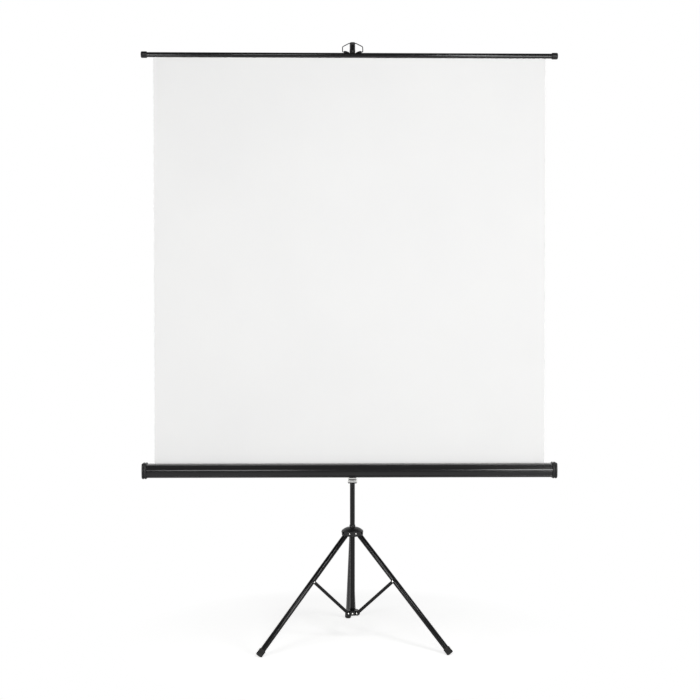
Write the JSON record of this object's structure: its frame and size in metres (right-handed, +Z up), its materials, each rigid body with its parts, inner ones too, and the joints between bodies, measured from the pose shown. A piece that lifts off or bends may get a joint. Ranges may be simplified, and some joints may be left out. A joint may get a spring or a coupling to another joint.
{
  "type": "tripod projection screen",
  "caption": "Pull-up projection screen: white sheet drawn from a slim roller case and hung on a telescopic mast over a folding tripod.",
  "frame": {"origin": "middle of the part's box on the floor", "axes": "+Z up, +X to the right for someone facing the sheet, +Y away from that viewer"},
  "size_m": [1.649, 0.6726, 2.4058],
  "materials": {
    "black_powder_coat": "semi-gloss black powder coat on steel tube",
    "case_coat": "semi-gloss black coat on drawn aluminium",
    "black_plastic": "satin black moulding",
    "black_rubber": "matt black rubber",
    "zinc_plate": "bright zinc plate",
    "bright_steel": "bright nickel plate",
    "dark_steel": "dark oiled steel",
    "nylon": "natural nylon",
    "white_fabric": "matt white coated sheet"
  },
  "bodies": {
    "column": {"column_tube": "black_powder_coat", "foot_collar": "black_plastic", "collar_rivet": "bright_steel", "stay_pin_left": "bright_steel", "stay_pin_right": "bright_steel", "stay_pin_rear": "bright_steel", "stop_ring": "dark_steel", "mast_clamp": "black_plastic"},
    "mast_knob": {"mast_knob": "black_plastic"},
    "mast": {"mast_tube": "black_powder_coat", "mast_hook": "black_plastic", "mast_bush": "black_plastic"},
    "hub": {"hub_crown": "black_plastic", "hub_pin_left": "bright_steel", "hub_pin_right": "bright_steel", "hub_pin_rear": "bright_steel"},
    "leg_left": {"leg_left_knuckle": "black_plastic", "leg_left_tube": "black_powder_coat", "leg_left_foot": "black_rubber"},
    "leg_right": {"leg_right_knuckle": "black_plastic", "leg_right_tube": "black_powder_coat", "leg_right_foot": "black_rubber"},
    "leg_rear": {"leg_rear_knuckle": "black_plastic", "leg_rear_tube": "black_powder_coat", "leg_rear_foot": "black_rubber"},
    "stay_left": {"stay_left_bar": "black_powder_coat", "stay_left_rivet": "bright_steel"},
    "stay_right": {"stay_right_bar": "black_powder_coat", "stay_right_rivet": "bright_steel"},
    "stay_rear": {"stay_rear_bar": "black_powder_coat", "stay_rear_rivet": "bright_steel"},
    "slider": {"slider_sleeve": "black_plastic", "slider_bracket": "zinc_plate", "swivel_bolt": "bright_steel", "swivel_washer": "nylon"},
    "height_knob": {"height_knob": "black_plastic"},
    "case": {"case_shell": "case_coat", "case_cap_left": "black_plastic", "case_cap_right": "black_plastic", "case_saddle": "black_plastic", "saddle_screw_left": "bright_steel", "saddle_screw_right": "bright_steel", "roller_spindle": "bright_steel", "roller_spring": "dark_steel", "fabric_sheet": "white_fabric"},
    "roller": {"roller_tube": "dark_steel", "roller_plug_left": "black_plastic", "roller_plug_right": "black_plastic", "fabric_roll": "white_fabric"},
    "batten": {"batten_tube": "black_powder_coat", "batten_cap_left": "black_plastic", "batten_cap_right": "black_plastic", "bail_eyelet_left": "dark_steel", "bail_eyelet_right": "dark_steel"},
    "bail": {"bail_wire": "dark_steel"}
  },
  "joints": [
    {"name": "tripod_fold", "type": "slide", "parent": "column", "child": "hub", "axis": [0, 0, -1], "range_m": [-0.128, 0]},
    {"name": "leg_left_fold", "type": "hinge", "parent": "hub", "child": "leg_left", "pos_m": [-0.01597, -0.11739, 0.445], "axis": [-0.521, 0.8536, 0], "range_deg": [-40.1, 0]},
    {"name": "leg_right_fold", "type": "hinge", "parent": "hub", "child": "leg_right", "pos_m": [0.03874, -0.11605, 0.445], "axis": [-0.4787, -0.878, 0], "range_deg": [-40.1, 0]},
    {"name": "leg_rear_fold", "type": "hinge", "parent": "hub", "child": "leg_rear", "pos_m": [0.01023, -0.06933, 0.445], "axis": [0.9997, 0.0244, 0], "range_deg": [-40.1, 0]},
    {"name": "stay_left_fold", "type": "hinge", "parent": "column", "child": "stay_left", "pos_m": [-0.01205, -0.11499, 0.122], "axis": [0.521, -0.8536, 0], "range_deg": [-46, 0]},
    {"name": "stay_right_fold", "type": "hinge", "parent": "column", "child": "stay_right", "pos_m": [0.03471, -0.11385, 0.122], "axis": [0.4787, 0.878, 0], "range_deg": [-46, 0]},
    {"name": "stay_rear_fold", "type": "hinge", "parent": "column", "child": "stay_rear", "pos_m": [0.01034, -0.07393, 0.122], "axis": [-0.9997, -0.0244, 0], "range_deg": [-46, 0]},
    {"name": "case_height", "type": "slide", "parent": "column", "child": "slider", "axis": [0, 0, 1], "range_m": [-0.03, 0.55]},
    {"name": "height_knob_turn", "type": "hinge", "parent": "slider", "child": "height_knob", "pos_m": [0.011, -0.10093, 0.703], "axis": [0, 1, 0], "range_deg": [0, 180]},
    {"name": "case_swivel", "type": "hinge", "parent": "slider", "child": "case", "pos_m": [0.011, -0.13096, 0.703], "axis": [0, 1, 0], "range_deg": [-60, 0]},
    {"name": "screen_pull", "type": "slide", "parent": "case", "child": "batten", "axis": [0, 0, 1], "range_m": [-1.594, 0], "deforming": ["fabric_sheet"]},
    {"name": "roller_spin", "type": "hinge", "parent": "case", "child": "roller", "pos_m": [0, -0.17342, 0.703], "axis": [1, 0, 0], "range_deg": [-5260, 0]},
    {"name": "bail_swing", "type": "hinge", "parent": "batten", "child": "bail", "pos_m": [0.011, -0.15493, 2.3584], "axis": [1, 0, 0], "range_deg": [0, 120]},
    {"name": "mast_slide", "type": "slide", "parent": "column", "child": "mast", "axis": [0, 0, 1], "range_m": [-0.95, 0]},
    {"name": "mast_knob_turn", "type": "hinge", "parent": "column", "child": "mast_knob", "pos_m": [0.011, -0.10093, 1.3775], "axis": [0, 1, 0], "range_deg": [0, 180]}
  ],
  "couplings": [
    {"joint": "leg_left_fold", "follows": "tripod_fold", "rad_per_m": 5.4519},
    {"joint": "leg_right_fold", "follows": "tripod_fold", "rad_per_m": 5.4519},
    {"joint": "leg_rear_fold", "follows": "tripod_fold", "rad_per_m": 5.4519},
    {"joint": "stay_left_fold", "follows": "tripod_fold", "rad_per_m": 6.2479},
    {"joint": "stay_right_fold", "follows": "tripod_fold", "rad_per_m": 6.2479},
    {"joint": "stay_rear_fold", "follows": "tripod_fold", "rad_per_m": 6.2479},
    {"joint": "roller_spin", "follows": "screen_pull", "rad_per_m": 57.47}
  ]
}
